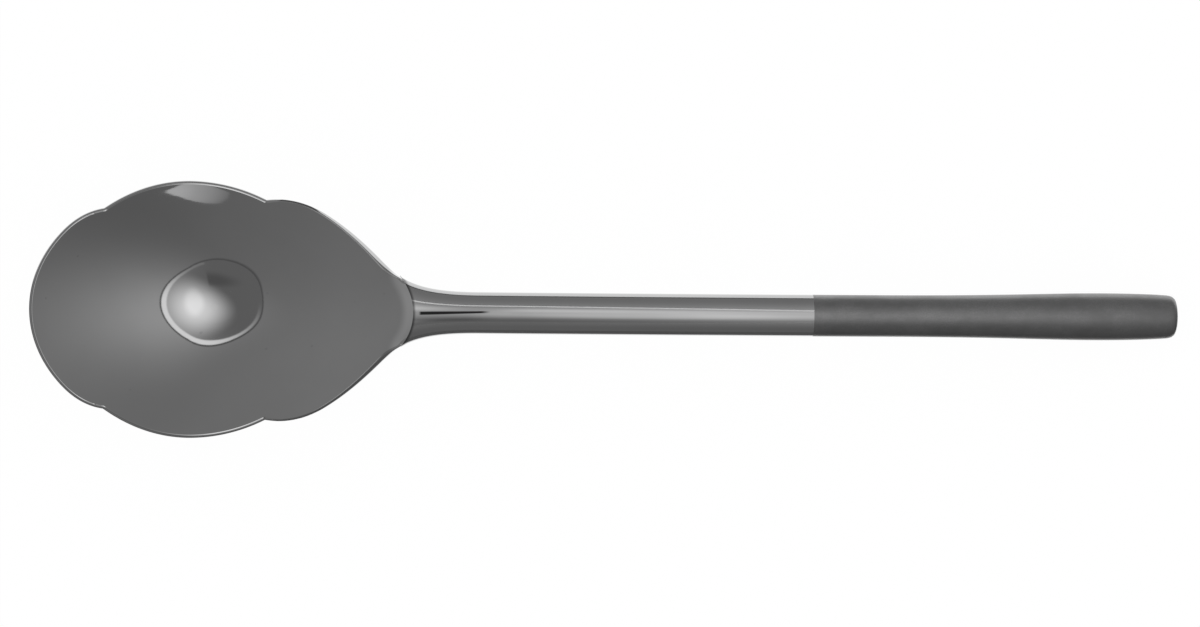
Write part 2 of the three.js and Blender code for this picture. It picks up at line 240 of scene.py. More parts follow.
class SpoonBowlSizes(bpy.types.PropertyGroup):
    """Sizes of the pressed bowl."""

    half_width: length_property("Half width", "Half the width at the widest place", BOWL_HALF)
    depth: length_property("Depth", "From the rim down to the lowest place inside", 0.0095)
    sheet: length_property("Sheet", "Thickness of the bowl, measured upright", 0.0012)
    tail_sheet: length_property("Tail", "Thickness where the shoulders reach the neck", 0.0026)
    tip_rise: length_property("Tip rise", "How far the rim climbs to the tip", 0.00045)
    wall_ease: share_property("Wall ease", "How much less steep the shoulders' walls are", 0.3)
    lip_drop: length_property("Lip drop", "How far the last run of the wall eases at the rim", 0.00006)
    front_notch: length_property("Front notch", "Depth of the notches beside the tip lobe", 0.001)
    rear_notch: length_property("Rear notch", "Depth of the notches behind the side lobes", 0.00145)
    rest_width: length_property("Rest width", "Width of the worn flat that the bowl lies on", 0.0046)
    rim_land: length_property("Rim land", "Width of the narrow level land on the rim", 0.00006)
    rim_round: length_property("Rim round", "Run of the polished round outside the land", 0.0004)
    rim_drop: length_property("Rim drop", "Height of that round", 0.00038)
    shoulder_round: length_property("Shoulder round", "Run of the flank on the shoulders", 0.0007)
    corner_drop: length_property("Corner drop", "Height of the round beside the neck", 0.00115)
    under_drop: length_property("Under drop", "Height of the round under the shoulders", 0.0006)


class SpoonHandleSizes(bpy.types.PropertyGroup):
    """Sizes of the neck, the stem and the grip."""

    stem_radius: length_property("Stem half width", "Half the width of the stem", 0.00282)
    bore_radius: length_property("Bore half width", "Half the width of the bore", 0.002)
    tang_radius: length_property("Tang half width", "Half the width of the core rod", 0.0012)
    swell: length_property("Grip swell", "How far the grip swells at its fullest", 0.00038)
    height_share: share_property("Height share", "Height of the oval section over its width", 0.75)
    saddle_half: length_property("Saddle half width", "Half the width of the saddle's end", 0.0016)
    saddle_thickness: length_property("Saddle thickness", "Thickness of the saddle's end", 0.00045)
    spigot: length_property("Spigot", "Length of the neck's spigot in the stem", 0.006)
    socket: length_property("Socket", "Depth of the socket for the core rod", 0.01)


class SpoonFinish(bpy.types.PropertyGroup):
    """Colours and finishes of the steel."""

    polished: steel_colour("Polished steel", "Colour of the mirror-polished steel", 0.5)
    satin: steel_colour("Satin steel", "Colour of the blasted steel", 0.27)
    core: steel_colour("Drawn steel", "Colour of the unpolished steel inside", 0.36)
    bowl_roughness: share_property("Bowl haze", "Roughness of the bowl's polish", 0.03)
    stem_roughness: share_property("Stem haze", "Roughness of the stem's polish", 0.09)
    satin_roughness: share_property("Satin roughness", "Roughness of the blasted grip", 0.38)


class SpoonStage(bpy.types.PropertyGroup):
    """Camera and surroundings."""

    focal_length: bpy.props.FloatProperty(
        name="Focal length", description="Focal length of the lens, in millimetres", default=200
    )
    frame_width: length_property("Frame width", "Width of the view at the spoon", 0.16264)
    tilt: bpy.props.FloatProperty(
        name="Tilt", description="How far the camera leans to the spoon's near side",
        default=math.radians(-2.5), subtype="ANGLE", unit="ROTATION"
    )
    roll: bpy.props.FloatProperty(
        name="Roll", description="How far the camera is turned about its own line of sight",
        default=math.radians(0.575), subtype="ANGLE", unit="ROTATION"
    )
    aim: bpy.props.FloatVectorProperty(
        name="Aim", description="The place that the camera looks at",
        default=(-0.0007, -0.000015, 0.009), subtype="XYZ", unit="LENGTH", size=3
    )
    shadow: share_property("Shadow", "How much of the spoon's soft shadow the floor keeps", 0.03)


def bezier(stations, values):
    """A cubic curve as many close points, from four stations and four values."""
    t = np.linspace(0, 1, CURVE_STEPS)
    weights = ((1 - t) ** 3, 3 * t * (1 - t) ** 2, 3 * t**2 * (1 - t), t**3)
    along = sum(weight * station for weight, station in zip(weights, stations))
    up = sum(weight * value for weight, value in zip(weights, values))
    return along, up


def smooth_through(points, steps):
    """Points on a smooth line through the given ones."""
    points = np.array(points, float)
    before = np.vstack([2 * points[0] - points[1], points[:-1]])
    after = np.vstack([points[1:], 2 * points[-1] - points[-2]])
    slopes = (after - before) / 2
    slopes[0] = points[1] - points[0]
    line = [points[0]]
    for i in range(len(points) - 1):
        for t in np.linspace(0, 1, steps + 1)[1:]:
            line.append(
                (2 * t**3 - 3 * t**2 + 1) * points[i]
                + (t**3 - 2 * t**2 + t) * slopes[i]
                + (3 * t**2 - 2 * t**3) * points[i + 1]
                + (t**3 - t**2) * slopes[i + 1]
            )
    return np.array(line)


class BowlForm:
    """Surfaces of the bowl, worked out from its driving sizes. A station is measured from the tip."""

    def __init__(self, sizes, stem_radius):
        self.sizes = sizes
        flat_half = sizes.rest_width / 2
        self.flat_half = flat_half
        self.keel_height = sizes.sheet - sizes.depth * (flat_half / sizes.half_width) ** 2
        self.rim_low = self.keel_height + sizes.depth
        rim_tip = self.rim_low + sizes.tip_rise
        ratio = math.sqrt((STEM_TOP - self.keel_height) / (rim_tip - self.keel_height))
        self.keel = THROAT / (1 + ratio)
        self.keel_curve = (rim_tip - self.keel_height) / self.keel**2
        run = SHOULDER - WIDEST
        first, last = (run * share for share in SHOULDER_HANDLE_SHARES)
        shoulder = bezier(
            (WIDEST, WIDEST + first, SHOULDER - last, SHOULDER),
            (sizes.half_width, sizes.half_width, SHOULDER_HALF + last, SHOULDER_HALF),
        )
        run = NECK_ROUND - SHOULDER
        first, last = (run * share for share in NECK_HANDLE_SHARES)
        neck = bezier(
            (SHOULDER, SHOULDER + first, NECK_ROUND - last, NECK_ROUND),
            (SHOULDER_HALF, SHOULDER_HALF - first, stem_radius, stem_radius),
        )
        self.sweep = [np.concatenate(pair) for pair in zip(shoulder, neck)]

    def half_width(self, station):
        """Half the width, as if the rim had no notches."""
        share = np.clip((WIDEST - station) / WIDEST, 0, 1)
        front = self.sizes.half_width * np.sqrt(np.maximum(1 - share**2, 0))
        return np.where(station < WIDEST, front, np.interp(station, *self.sweep))

    def notch_dip(self, station):
        """How far the notches draw the rim in: a crisp corner with a round lobe on each side."""
        notches = (
            (FRONT_NOTCH, self.sizes.front_notch, *FRONT_NOTCH_RUNS),
            (REAR_NOTCH, self.sizes.rear_notch, *REAR_NOTCH_RUNS),
        )
        dip = np.zeros_like(station)
        for place, depth, before, after in notches:
            reach = np.where(station < place, before, after)
            dip += depth * np.maximum(1 - abs(station - place) / reach, 0) ** 2
        return dip

    def tail_share(self, station):
        share = (station - SHEET_GROWS) / (THROAT_SIDE - SHEET_GROWS)
        return np.clip(share, 0, 1) ** 2

    def keel_line(self, station):
        return self.keel_height + self.keel_curve * (station - self.keel) ** 2

    def rim_height(self, station):
        front = self.rim_low + self.sizes.tip_rise * (1 - station / RIM_LOW) ** 2
        share = (station - RIM_LOW) / (THROAT_SIDE - RIM_LOW)
        back = self.rim_low + (self.keel_line(THROAT_SIDE) - self.rim_low) * share**2
        return np.where(station < RIM_LOW, front, back)

    def dish(self, station, across):
        """Height of the dished surface. Across the bowl's wide part it is a parabola from rim to rim.
        On the shoulders the walls are eased: rounder in the middle and less steep at the rim."""
        place = np.maximum(station, NEAR_TIP)
        share = np.clip((place - EASE_STARTS) / (EASE_ENDS - EASE_STARTS), 0, 1)
        ease = self.sizes.wall_ease * share**2 * (3 - 2 * share)
        out_share = (across / self.half_width(place)) ** 2
        rise = self.rim_height(place) - self.keel_line(place)
        to_rim = self.half_width(place) - abs(across)
        near_rim = np.clip(1 - to_rim / LIP, 0, 1)
        lip = self.sizes.lip_drop * near_rim**2 * (1 - self.tail_share(station))
        return self.keel_line(station) + rise * out_share * (1 + ease) / (1 + ease * out_share) - lip

    def underside(self, station, across):
        growth = (self.sizes.tail_sheet - self.sizes.sheet) * self.tail_share(station)
        return self.dish(station, across) - self.sizes.sheet - growth

    def throat_arc(self):
        """Radius of the throat's arc, and half its chord."""
        sagitta = THROAT - THROAT_SIDE
        half = float(self.half_width(THROAT_SIDE))
        return (half**2 + sagitta**2) / (2 * sagitta), half

    def rim_side(self):
        """One side of the rim seen from above, from the tip to the throat's corner."""
        angles = np.linspace(0, math.acos(1 - FRONT_NOTCH / WIDEST), TIP_STEPS + 1)
        stretches = [WIDEST * (1 - np.cos(angles))]
        for start, end, steps in (
            (FRONT_NOTCH, WIDEST, SIDE_STEPS),
            (WIDEST, REAR_NOTCH, SIDE_STEPS),
            (REAR_NOTCH, THROAT_SIDE, SHOULDER_STEPS),
        ):
            stretches.append(np.linspace(start, end, steps + 1)[1:])
        station = np.concatenate(stretches)
        across = self.half_width(station) - self.notch_dip(station)
        across[0] = 0
        return station, across

    def rim_row(self, side_inset, throat_inset):
        """A closed line that runs inside the rim, at one distance from its sides and another from
        the throat's arc."""
        station, across = self.rim_side()
        heading = np.stack([np.gradient(station), np.gradient(across)])
        heading[:, 0] = 0, 1
        heading /= np.hypot(*heading)
        side = side_inset[: len(station)]
        row_station = station + heading[1] * side
        row_across = across - heading[0] * side
        arc_radius = self.throat_arc()[0]
        centre = THROAT - arc_radius
        radius = arc_radius - throat_inset
        spread = math.asin(row_across[-1] / radius)
        ramp = np.clip((station - THROAT_SIDE) / RAMP + 1, 0, 1) ** 2
        row_station += (centre + radius * math.cos(spread) - row_station[-1]) * ramp
        turn = np.linspace(spread, 0, THROAT_STEPS + 1)[1:]
        half = np.stack([
            np.concatenate([row_station, centre + radius * np.cos(turn)]),
            np.concatenate([-row_across, -radius * np.sin(turn)]),
        ])
        return np.hstack([half, half[:, -2:0:-1] * [[1], [-1]]])

    def row_shares(self):
        """For each point of a row, its share of the shoulder's wide flank, of that flank's crisp
        upper edge, of its full steepness, of the round beside the neck that it turns into, and of
        the way from the throat's corner to the middle."""
        station = self.rim_side()[0]
        flank = np.concatenate([self.tail_share(station), np.ones(THROAT_STEPS)])
        near = np.clip((station - CORNER_STARTS) / (THROAT_SIDE - CORNER_STARTS), 0, 1)
        corner = np.concatenate([near**2 * (3 - 2 * near), np.ones(THROAT_STEPS)])
        crisp = np.clip((station - REAR_NOTCH) / CRISP_RUN, 0, 1)
        keen = np.concatenate([crisp, np.ones(THROAT_STEPS)]) * (1 - corner)
        fall = np.clip((station - FLANK_STARTS) / (FLANK_ENDS - FLANK_STARTS), 0, 1)
        steep = np.concatenate([fall, np.ones(THROAT_STEPS)])
        throat = np.concatenate([np.zeros_like(station), np.linspace(0, 1, THROAT_STEPS + 1)[1:]])
        halves = (flank, keen, steep, corner, throat)
        return [np.concatenate([half, half[-2:0:-1]]) for half in halves]


class HandleForm:
    """The bent centre line of the handle and the grip's outline."""

    def __init__(self, sizes):
        self.sizes = sizes
        self.half_height = sizes.stem_radius * sizes.height_share
        self.crest_height = STEM_TOP - self.half_height
        grip_run = CAP_SEAM - GRIP_SEAM
        rise = bezier(
            [GRIP_SEAM + share * grip_run for share in SWELL_RISE_SHARES],
            (0, 0, sizes.swell, sizes.swell),
        )
        fall = bezier(
            [GRIP_SEAM + share * grip_run for share in SWELL_FALL_SHARES],
            [share * sizes.swell for share in SWELL_FALL_HEIGHT_SHARES],
        )
        self.swell_curve = [np.concatenate(pair) for pair in zip(rise, fall)]
        self.head_radius = float(self.grip_radius(CAP_SEAM))
        along, out = CAP_HEAD_SHARES[1]
        run = CAP_SEAM + along * (LENGTH - CAP_SEAM) - CREST
        rest_half = out * self.head_radius * sizes.height_share
        slope = 0.0
        for _ in range(SLOPE_ROUNDS):
            slope = 2 * math.atan((self.crest_height - rest_half * math.cos(slope)) / run)
        self.bend_radius = run / math.sin(slope)

    def grip_radius(self, station):
        return self.sizes.stem_radius + np.interp(station, *self.swell_curve)

    def place(self, station, across, upward):
        """Points beside the bent centre line."""
        slope = np.arcsin(np.maximum(station - CREST, 0) / self.bend_radius)
        line = self.crest_height - self.bend_radius * (1 - np.cos(slope))
        along = station + upward * np.sin(slope) - LENGTH / 2
        return np.stack(np.broadcast_arrays(along, across, line + upward * np.cos(slope)), axis=-1)

    def oval(self, station, radius):
        """An oval ring round the centre line."""
        upward = np.sin(AROUND) * self.sizes.height_share
        return self.place(station, -np.cos(AROUND) * radius, upward * radius)


def ring_mesh(name, rings, loop=False):
    """A mesh from rings with the same number of points. Its ends are closed by a middle point, or
    the last ring joins the first."""
    rings = np.array(rings)
    count, around = rings.shape[:2]
    points = rings.reshape(-1, 3)
    faces = []
    numbers = np.arange(around)
    following = np.roll(numbers, -1)
    for i in range(count if loop else count - 1):
        here = i * around
        there = ((i + 1) % count) * around
        quads = [here + numbers, there + numbers, there + following, here + following]
        faces += np.stack(quads, 1).tolist()
    if not loop:
        middle = len(points)
        last = (count - 1) * around
        pairs = list(zip(numbers.tolist(), following.tolist()))
        points = np.vstack([points, rings[0].mean(0), rings[-1].mean(0)])
        faces += [[middle, a, b] for a, b in pairs]
        faces += [[middle + 1, last + b, last + a] for a, b in pairs]
    mesh = bpy.data.meshes.new(name)
    mesh.from_pydata(points.tolist(), [], faces)
    mesh.validate()
    mesh.shade_smooth()
    return mesh


def sharpen(mesh, around, rings):
    """Marks the edges that run along some of the rings as sharp."""
    wanted = set(rings)
    for edge in mesh.edges:
        a, b = edge.vertices
        if a // around == b // around and a // around in wanted:
            edge.use_edge_sharp = True


def add_piece(name, mesh, material, node):
    """Puts a finished mesh in the place of a node of the frame, riding on the spoon's body."""
    piece = bpy.data.objects.new(name, mesh)
    bpy.context.scene.collection.objects.link(piece)
    mesh.materials.append(material)
    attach(piece, "root")
    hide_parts(node)
    return piece


class Wire:
    """A value in a node tree that can stand in a sum: each operator adds the Math node for it."""

    def __init__(self, recipe, socket):
        self.recipe = recipe
        self.socket = socket

    def output(self, name):
        """Another output of the same node."""
        return Wire(self.recipe, self.socket.node.outputs[name])

    def joined(self, operation, first, second):
        return self.recipe.node("ShaderNodeMath", {"operation": operation}, {0: first, 1: second})

    def __add__(self, other):
        return self.joined("ADD", self, other)

    def __radd__(self, other):
        return self.joined("ADD", other, self)

    def __sub__(self, other):
        return self.joined("SUBTRACT", self, other)

    def __rsub__(self, other):
        return self.joined("SUBTRACT", other, self)

    def __mul__(self, other):
        return self.joined("MULTIPLY", self, other)

    def __rmul__(self, other):
        return self.joined("MULTIPLY", other, self)

    def __truediv__(self, other):
        return self.joined("DIVIDE", self, other)

    def __pow__(self, other):
        return self.joined("POWER", self, other)


class Recipe:
    """A node tree under construction."""

    def __init__(self, tree):
        self.tree = tree
        tree.nodes.clear()

    def node(self, kind, settings=None, sockets=None, output=0):
        """Adds one node: its settings first, then the values and links of its sockets."""
        made = self.tree.nodes.new(kind)
        for name, value in (settings or {}).items():
            setattr(made, name, value)
        for name, value in (sockets or {}).items():
            if isinstance(value, Wire):
                self.tree.links.new(value.socket, made.inputs[name])
            else:
                made.inputs[name].default_value = value
        return Wire(self, made.outputs[output]) if len(made.outputs) else made

    def step(self, value, low, high, start=0, end=1):
        """Runs smoothly from start to end while the value goes from low to high."""
        sockets = {"Value": value, "From Min": low, "From Max": high, "To Min": start, "To Max": end}
        return self.node("ShaderNodeMapRange", {"interpolation_type": "SMOOTHSTEP"}, sockets)

    def band(self, value, sides):
        """Full between two soft sides, and nothing beyond them."""
        return self.step(value, *sides[0]) * self.step(value, *sides[1])

    def axes(self, space):
        """The first of the three numbers of a place or a direction. Its other outputs are the rest."""
        place = self.node("ShaderNodeTexCoord", output=space)
        return self.node("ShaderNodeSeparateXYZ", sockets={"Vector": place}, output="X")

    def noise(self, scale, stretch=(1, 1, 1), detail=2, roughness=0.5):
        """A noise in the spoon's own space, drawn out along its axes. Its value is about a half."""
        place = self.node("ShaderNodeTexCoord", output="Object")
        mapped = self.node("ShaderNodeMapping", sockets={"Vector": place, "Scale": stretch})
        sockets = {"Vector": mapped, "Scale": scale, "Detail": detail, "Roughness": roughness}
        return self.node("ShaderNodeTexNoise", sockets=sockets)

    def mix(self, share, first, second):
        """A colour between two others."""
        sockets = {0: share, 6: first, 7: second}
        return self.node("ShaderNodeMix", {"data_type": "RGBA"}, sockets, output=2)

    def surface(self, shader_sockets, height, strength, distance):
        """A surface shader with a bump, joined to the material's output."""
        sockets = {"Height": height, "Strength": strength, "Distance": distance}
        normal = self.node("ShaderNodeBump", sockets=sockets)
        shader = self.node("ShaderNodeBsdfPrincipled", sockets={**shader_sockets, "Normal": normal})
        self.node("ShaderNodeOutputMaterial", sockets={"Surface": shader})


def new_recipe(name):
    material = bpy.data.materials.new(name)
    material.use_nodes = True
    return material, Recipe(material.node_tree)


def tinted(colour, share):
    """A colour with a share of its light, as a shader's colour."""
    return (*(channel * share for channel in colour), 1)


def polished_steel(name, colour, roughness, painted_touches):
    """Mirror polish with faint drawn-out polishing marks, fine wear lines and a little haze. Each touch
    paints a reflection or shade into the colour: it has a function that gives its share from place to
    place, and a share of the colour."""
    material, recipe = new_recipe(name)
    marks = recipe.noise(700, (0.12, 1, 1), detail=5, roughness=0.6)
    lines = recipe.noise(3200, (0.03, 1, 1), detail=2)
    haze = recipe.noise(90, detail=3)
    specks = recipe.step(recipe.noise(1100, (0.6, 1, 1), detail=1), 0.76, 0.84)
    worn = recipe.step(haze, 0.4, 0.65)
    tint = recipe.mix(worn * 0.5 + marks * 0.3, tinted(colour, 1), tinted(colour, 0.95))
    tint = recipe.mix(specks, tint, tinted(colour, 0.85))
    # Painted reflections and shade, fixed to the spoon
    for place_share, colour_share in painted_touches:
        tint = recipe.mix(place_share(recipe), tint, tinted(colour, colour_share))
    roughness = roughness + worn * 0.008 + marks * 0.006 + specks * 0.05
    sockets = {"Base Color": tint, "Metallic": 1, "Roughness": roughness}
    recipe.surface(sockets, marks * 0.7 + lines * 0.3, strength=0.06, distance=0.00002)
    return material


def past_throat(recipe):
    """How far a place lies behind the arc where the bowl ends, with its place on the axes."""
    x = recipe.axes("Object")
    sagitta = THROAT - THROAT_SIDE
    radius = (THROAT_HALF**2 + sagitta**2) / (2 * sagitta)
    centre = THROAT - radius - LENGTH / 2
    return ((x - centre) ** 2 + x.output("Y") ** 2) ** 0.5 - radius, x


def painted_throat_reflection(recipe):
    """A painted reflection: a paler band along the end of the bowl."""
    beyond, x = past_throat(recipe)
    top = recipe.step(x.output("Z"), STEM_TOP - 0.004, STEM_TOP - 0.003)
    return recipe.step(beyond, *BAND_BEHIND) * recipe.step(x, *BAND_SHOULDER) * top


def painted_joint_shade(recipe):
    """Painted shade: a dark line along the front of the neck, where it meets the bowl."""
    beyond, x = past_throat(recipe)
    top = recipe.step(x.output("Z"), STEM_TOP - 0.003, STEM_TOP - 0.002)
    return recipe.step(beyond, *LINE_BEHIND) * top


def crest_shade(recipe):
    """Painted reflections: a thin dark streak along the neck, a darker run beside it, and a low darker
    run that goes on along the stem. They follow the place across alone, so they lie under the handle as
    well as on it."""
    x = recipe.axes("Object")
    y = x.output("Y")
    above_saddle = recipe.step(x.output("Z"), *ABOVE_SADDLE)
    off_streak = y + STREAK_OFFSET - (x - STREAK_FOOT) * STREAK_SLANT
    width = recipe.step(x, *STREAK_WIDTH)
    streak = recipe.step((off_streak**2) ** 0.5 / width, 1, 0.5)
    streak = streak * recipe.step(x, *STREAK_START) * recipe.step(x, *STREAK_END)
    # The run beside the streak is painted shade, darkening the steel's colour
    dull = recipe.band(off_streak, SHADE_RUN_SIDES) * recipe.step(x, *SHADE_RUN_FADE)
    low = recipe.band(y, LOW_SIDES) * recipe.step(x, *LOW_GROWTH) * recipe.step(x, *LOW_FADE)
    return (1 - (1 - streak * STREAK_SHARE) * (1 - dull) * (1 - low)) * above_saddle


# Painted reflections and shade, each with the share of the steel's colour it paints: paler on the bowl,
# darker on the neck and stem
BOWL_PAINTED_REFLECTIONS = ((painted_throat_reflection, 1.4),)
HANDLE_PAINTED_SHADE = ((painted_joint_shade, 0.35), (crest_shade, 0.02))


def satin_steel(name, colour, roughness):
    """Blasted steel: a fine grain all round, with a little change of grey from place to place."""
    material, recipe = new_recipe(name)
    grain = recipe.noise(5200, detail=3, roughness=0.7)
    patches = recipe.noise(260, (0.7, 1, 1), detail=5, roughness=0.65)
    tint = recipe.mix(recipe.step(grain, 0.3, 0.7), tinted(colour, 1.08), tinted(colour, 0.92))
    tint = recipe.mix(recipe.step(patches, 0.35, 0.65), tint, tinted(colour, 0.86))
    roughness = roughness - 0.03 + patches * 0.06 + grain * 0.04
    sockets = {"Base Color": tint, "Metallic": 1, "Roughness": roughness}
    recipe.surface(sockets, grain, strength=0.25, distance=0.00002)
    return material


def drawn_steel(name, colour):
    """Cold-drawn rod: dull, with long lines along it."""
    material, recipe = new_recipe(name)
    lines = recipe.noise(2600, (0.02, 1, 1), detail=3)
    stain = recipe.noise(220, detail=4)
    tint = recipe.mix(recipe.step(stain, 0.4, 0.7), tinted(colour, 1), tinted(colour, 0.7))
    sockets = {"Base Color": tint, "Metallic": 1, "Roughness": 0.4 + lines * 0.15}
    recipe.surface(sockets, lines, strength=0.3, distance=0.00003)
    return material


def silver_braze(name):
    """Braze as it flowed: pale, warm and slightly rippled."""
    material, recipe = new_recipe(name)
    ripples = recipe.noise(1300, detail=3)
    tint = recipe.mix(ripples, (0.66, 0.62, 0.52, 1), (0.55, 0.5, 0.4, 1))
    sockets = {"Base Color": tint, "Metallic": 1, "Roughness": 0.26 + ripples * 0.12}
    recipe.surface(sockets, ripples, strength=0.3, distance=0.00004)
    return material


def handle_cement(name):
    """Set filler with fine grit."""
    material, recipe = new_recipe(name)
    grit = recipe.noise(2400, detail=5, roughness=0.7)
    tint = recipe.mix(grit, (0.07, 0.062, 0.055, 1), (0.12, 0.108, 0.095, 1))
    sockets = {"Base Color": tint, "Roughness": 0.8 + grit * 0.15}
    recipe.surface(sockets, grit, strength=0.5, distance=0.00005)
    return material


def material_named(name, make, *values):
    """The material of that name, made the first time that it is asked for."""
    return bpy.data.materials.get(name) or make(name, *values)


def bowl_mesh(form):
    """The bowl: dish, polished round of the rim, and underside."""
    sizes = form.sizes
    flank, keen, steep, corner, throat = form.row_shares()
    on_throat = throat > 0

    def blend(thin, shoulder):
        return thin + (shoulder - thin) * flank

    run = blend(sizes.rim_round * (1 - (1 - CRISP_SHARE) * keen), sizes.shoulder_round)
    round_drop = sizes.rim_drop + (sizes.corner_drop - sizes.rim_drop) * corner

    def flank_fall(share):
        """How far the shoulder's flank has fallen after a share of its run."""
        fallen = np.zeros_like(run)
        start = 0.0
        for end, slope in FLANK_STEEP_SHARES:
            part = min(max(share - start, 0), end - start)
            fallen += run * (EDGE_STEEP + (slope - EDGE_STEEP) * steep) * part
            start = end
        return fallen

    def ring(place, height):
        return np.stack([place[0] - LENGTH / 2, place[1], height], axis=-1)

    def spread_rings(edge):
        """Plan places of rings from the middle of the resting flat out to the edge."""
        away = np.stack([edge[0] - form.keel, edge[1]])
        reach = np.hypot(*away)
        away /= reach
        flat_long = form.flat_half * form.keel / sizes.half_width
        core = 1 / np.hypot(away[0] / flat_long, away[1] / form.flat_half)
        wide_shares = 1 - np.linspace(1, 0, DISH_RINGS + 1)[1:] ** DISH_CROWDING
        distances = [core * share for share in np.linspace(0, 1, CORE_RINGS + 1)[1:]]
        distances += [core + (reach - core) * share for share in wide_shares]
        return [(form.keel + away[0] * distance, away[1] * distance) for distance in distances]

    inner = form.rim_row(run + sizes.rim_land, 2 * SEAM)
    rings = [ring(place, form.dish(*place)) for place in spread_rings(inner)]
    land_height = form.dish(*inner)
    rim_ring = len(rings) - 1
    quarter = np.linspace(0, math.pi / 2, ROUND_STEPS + 1)
    for angle in quarter:
        place = form.rim_row(run * (1 - math.sin(angle)), SEAM * (1 - math.sin(angle)))
        out = math.sin(angle)
        fallen = round_drop * (1 - math.cos(angle)) * (1 - keen) + flank_fall(out) * keen
        beside = land_height - fallen
        behind = form.dish(*place) - SEAM * out - fallen * (1 - throat) ** 3
        rings.append(ring(place, np.where(on_throat, behind, beside)))
    under_run = blend(sizes.rim_round, sizes.shoulder_round * UNDER_ROUND_SHARE)
    under_drop = blend(sizes.rim_drop, sizes.under_drop)
    under_edge = form.rim_row(under_run, SEAM)
    floor_height = form.underside(*under_edge)
    for angle in quarter:
        place = form.rim_row(under_run * (1 - math.cos(angle)), SEAM * (1 - math.cos(angle)))
        rise = np.where(on_throat, SEAM, under_drop) * (1 - math.sin(angle))
        rings.append(ring(place, floor_height + rise))

    def resting(place):
        """The underside, rounded off gently on to the flat that it lies on."""
        height = form.underside(*place)
        soft = sizes.sheet / REST_SOFT_PARTS
        return (height + np.sqrt(height**2 + soft**2)) / 2

    lowest = float(resting((np.array(form.keel), np.array(0.0))))
    for place in reversed(spread_rings(under_edge)[:-1]):
        out = np.hypot(place[0] - form.keel, place[1]) / form.flat_half
        rings.append(ring(place, resting(place) - lowest * np.exp(-(out**2))))
    mesh = ring_mesh("bowl_form", rings)
    sharpen(mesh, len(flank), [rim_ring])
    return mesh


def neck_mesh(bowl, handle):
    """The neck: from its seat round the bowl's tail to the stem, with its spigot and socket."""
    sizes = handle.sizes
    saddle_top = float(bowl.underside(np.array(SADDLE), np.array(0.0))) - SEAT
    saddle_low = saddle_top - sizes.saddle_thickness
    arc_radius, throat_half = bowl.throat_arc()

    def section(station):
        share = np.clip((station - SADDLE) / (CREST - SADDLE), 0, 1)
        stem_low = handle.crest_height - handle.half_height
        under = saddle_low + (stem_low - saddle_low) * (1 - (1 - share) ** 2)
        share = (station - SADDLE) / (THROAT_SIDE - SADDLE)
        narrow = sizes.saddle_half + (throat_half - sizes.saddle_half) * share
        half = np.where(station < THROAT_SIDE, narrow, bowl.half_width(station))
        middle = (STEM_TOP + under) / 2
        upward = middle - handle.crest_height + (STEM_TOP - middle) * np.sin(AROUND)
        return handle.place(station, -half * np.cos(AROUND), upward)

    def in_seat(points):
        """Whether points lie in the room that the bowl's tail takes in the neck."""
        station = points[..., 0] + LENGTH / 2
        across = points[..., 1]
        depth = arc_radius * (1 - np.sqrt(np.maximum(1 - (across / arc_radius) ** 2, 0)))
        outline = np.where(abs(across) < throat_half, THROAT - depth + SEAM, THROAT_SIDE)
        above = points[..., 2] > bowl.underside(np.minimum(station, THROAT), across) - SEAT
        return (station < outline) & above

    low = np.full(HANDLE_SIDES, SADDLE)
    high = np.full(HANDLE_SIDES, THROAT + SEAT)
    for _ in range(SEAT_HALVINGS):
        middle = (low + high) / 2
        inside = in_seat(section(middle))
        low = np.where(inside, middle, low)
        high = np.where(inside, high, middle)
    front = high
    end = NECK_END - SEAM
    shares = np.linspace(0, 1, NECK_RINGS + 1) ** NECK_CROWDING
    rings = [section(front + (end - front) * share) for share in shares]
    first = rings[0]
    mirrored = first[(-np.arange(HANDLE_SIDES)) % HANDLE_SIDES]
    upper = np.sin(AROUND) >= 0
    seat_rows = []
    for share in np.linspace(0, 1, SEAT_ROWS + 1)[1:]:
        blend = share / 2
        point = first * (1 - blend) + mirrored * blend
        station = point[:, 0] + LENGTH / 2
        floor = bowl.underside(np.minimum(station, THROAT), point[:, 1]) - SEAT
        height = np.minimum(floor, np.where(upper, first[:, 2], floor))
        seat_rows.append(np.stack([point[:, 0], point[:, 1], height], axis=-1))
    spigot = sizes.bore_radius - SLIP
    bore = sizes.tang_radius + SLIP
    spigot_end = NECK_ROUND + sizes.spigot
    socket_end = spigot_end - sizes.socket
    for station, radius in (
        (end, spigot), (spigot_end - SLIP, spigot), (spigot_end, spigot - SLIP),
        (spigot_end, bore), (socket_end, bore), (socket_end, bore / 2),
    ):
        rings.append(handle.oval(station, radius))
    rings = seat_rows[::-1] + rings
    mesh = ring_mesh("neck_form", rings)
    count = len(seat_rows)
    outside = count + len(shares) - 1
    sharpen(mesh, HANDLE_SIDES, [count, outside, outside + 1, outside + 3])
    return mesh


